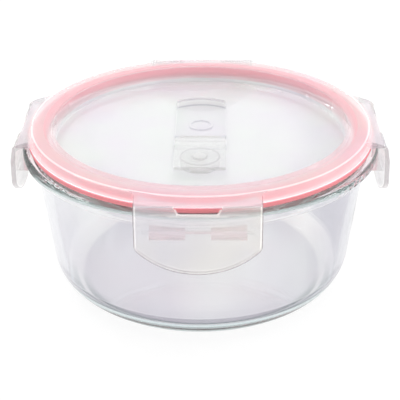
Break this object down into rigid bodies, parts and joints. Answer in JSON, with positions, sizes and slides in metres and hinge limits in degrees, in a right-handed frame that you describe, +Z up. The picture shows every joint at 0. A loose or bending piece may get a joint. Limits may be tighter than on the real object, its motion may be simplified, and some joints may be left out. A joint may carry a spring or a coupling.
{
  "type": "glass storage container",
  "caption": "Round glass food storage bowl with a translucent clamp-down lid, a silicone seal, hinged side latches and a folding steam vent.",
  "frame": {"origin": "middle of the base, on the surface that the bowl stands on", "axes": "+Z up; front, towards -Y, is the side that the steam vent's flap opens from; the latches face -Y, +X, +Y and -X"},
  "size_m": [0.1766, 0.1766, 0.0807],
  "materials": {
    "glass": "clear pressed borosilicate glass, faint green at thick edges",
    "lid_plastic": "translucent polypropylene, satin gloss",
    "pink_silicone": "smooth matt silicone",
    "clear_silicone": "milky translucent silicone"
  },
  "bodies": {
    "bowl": {"glass_bowl": "glass"},
    "lid": {"lid": "lid_plastic", "gasket_ring": "pink_silicone", "vent_hinge_strip": "lid_plastic", "latch_hinge_front": "lid_plastic", "latch_hinge_right": "lid_plastic", "latch_hinge_back": "lid_plastic", "latch_hinge_left": "lid_plastic"},
    "latch_front": {"latch_front": "lid_plastic"},
    "latch_right": {"latch_right": "lid_plastic"},
    "latch_back": {"latch_back": "lid_plastic"},
    "latch_left": {"latch_left": "lid_plastic"},
    "vent_flap": {"vent_flap": "lid_plastic", "vent_plug": "clear_silicone"}
  },
  "joints": [
    {"name": "lid_turn", "type": "hinge", "parent": "bowl", "child": "lid", "pos_m": [0, 0, 0.072], "axis": [0, 0, 1], "continuous": true},
    {"name": "front_latch_hinge", "type": "hinge", "parent": "lid", "child": "latch_front", "pos_m": [0, -0.0853, 0.078], "axis": [-1, 0, 0], "range_deg": [0, 120]},
    {"name": "right_latch_hinge", "type": "hinge", "parent": "lid", "child": "latch_right", "pos_m": [0.0853, 0, 0.078], "axis": [0, -1, 0], "range_deg": [0, 120]},
    {"name": "back_latch_hinge", "type": "hinge", "parent": "lid", "child": "latch_back", "pos_m": [0, 0.0853, 0.078], "axis": [1, 0, 0], "range_deg": [0, 120]},
    {"name": "left_latch_hinge", "type": "hinge", "parent": "lid", "child": "latch_left", "pos_m": [-0.0853, 0, 0.078], "axis": [0, 1, 0], "range_deg": [0, 120]},
    {"name": "vent_flap_hinge", "type": "hinge", "parent": "lid", "child": "vent_flap", "pos_m": [0, -0.002, 0.072], "axis": [-1, 0, 0], "range_deg": [0, 170]}
  ]
}
